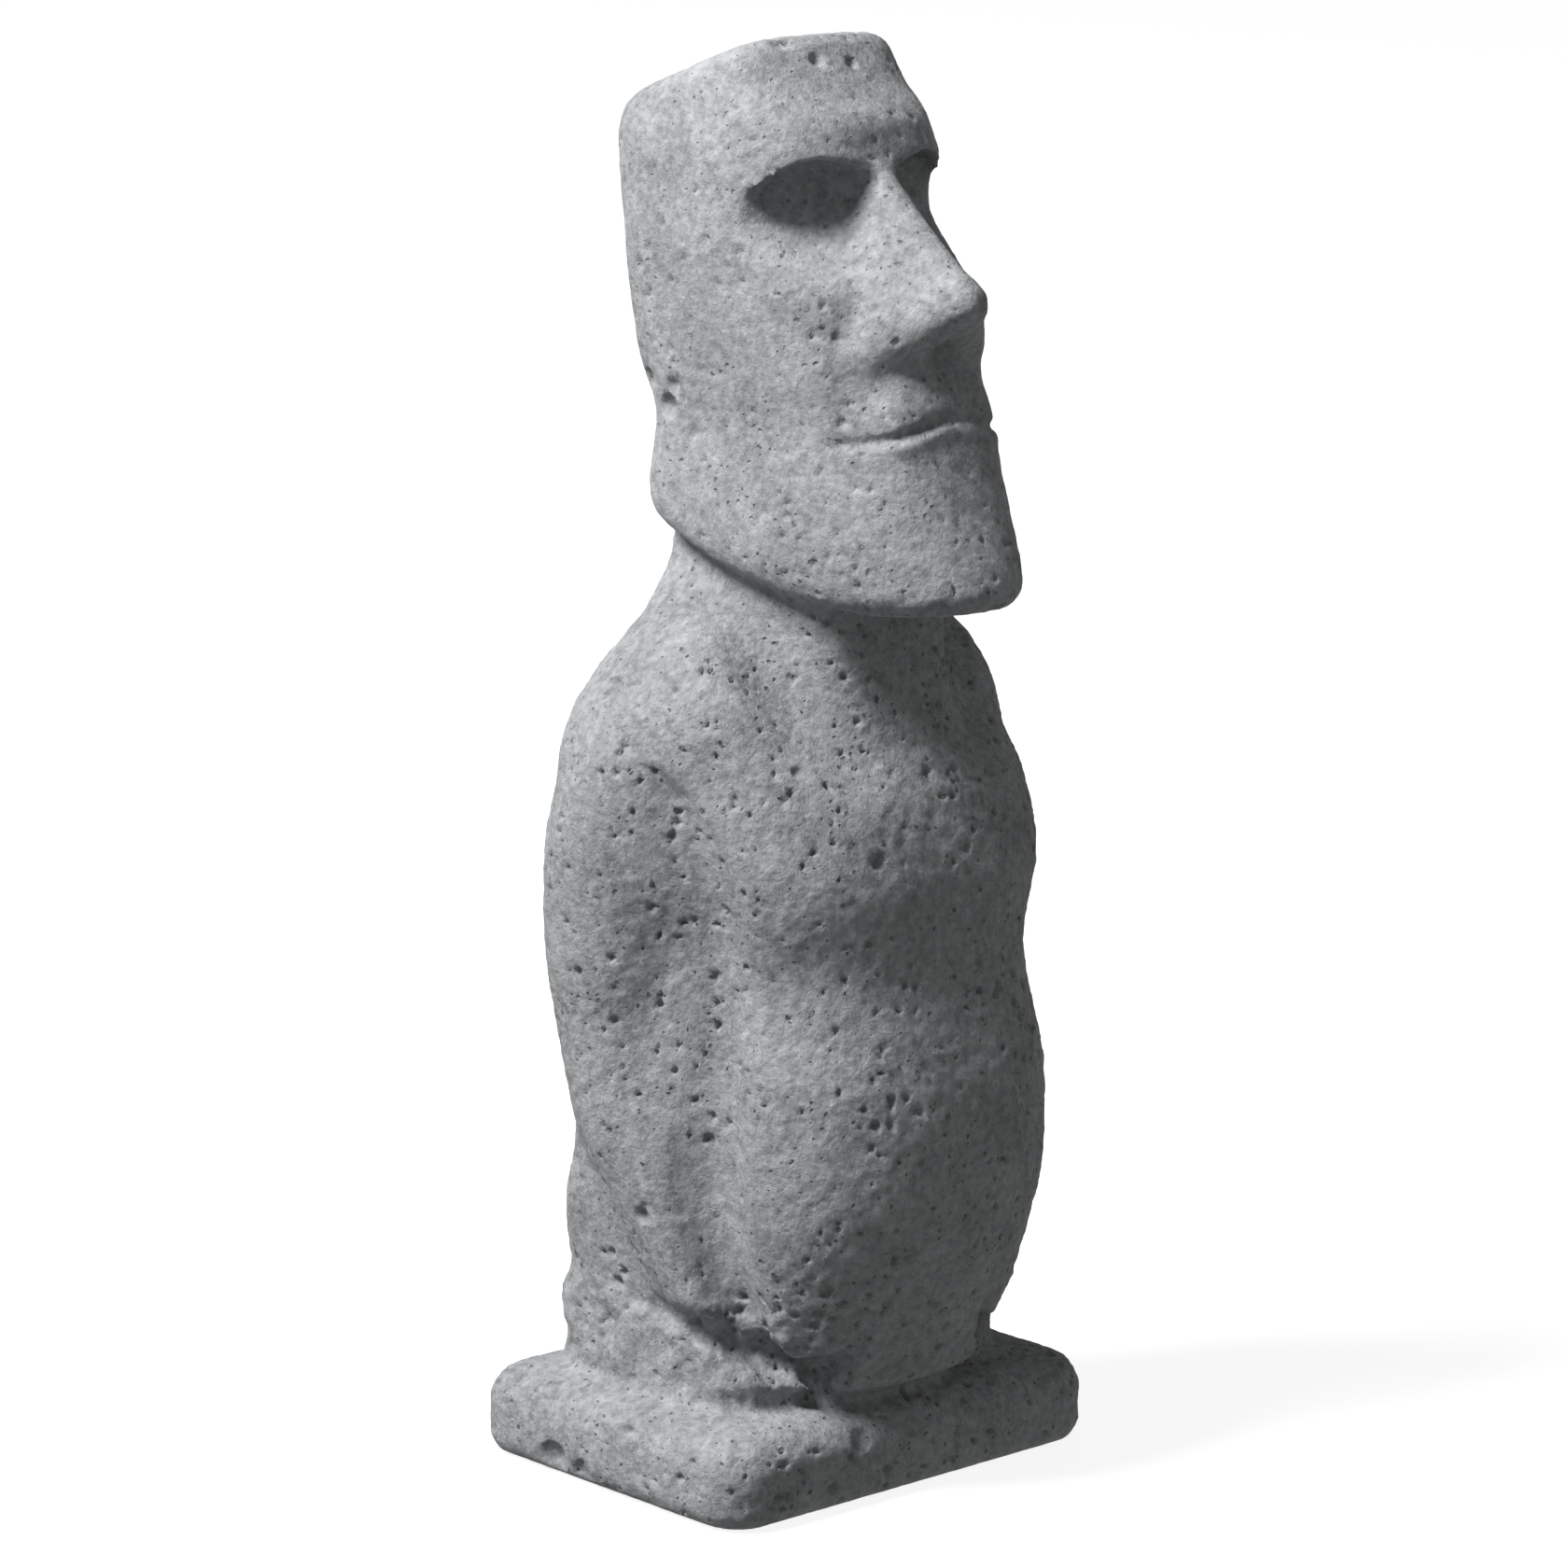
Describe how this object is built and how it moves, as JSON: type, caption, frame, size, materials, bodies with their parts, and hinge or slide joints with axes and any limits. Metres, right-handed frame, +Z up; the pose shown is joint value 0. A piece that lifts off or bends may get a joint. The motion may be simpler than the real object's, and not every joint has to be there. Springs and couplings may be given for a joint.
{
  "type": "moai statue",
  "caption": "Standing moai figure cast in one piece with a rectangular plinth: long face, heavy brow, sunken eyes, arms at the sides and hands low on the belly.",
  "frame": {"origin": "middle of the plinth's underside, where the statue stands", "axes": "+Z up, the face looks along -Y, the figure's own right hand is at -X"},
  "size_m": [0.076, 0.0623, 0.2],
  "materials": {
    "casting": "rough cast concrete with open air holes"
  },
  "bodies": {
    "root": {"statue": "casting"}
  },
  "joints": []
}
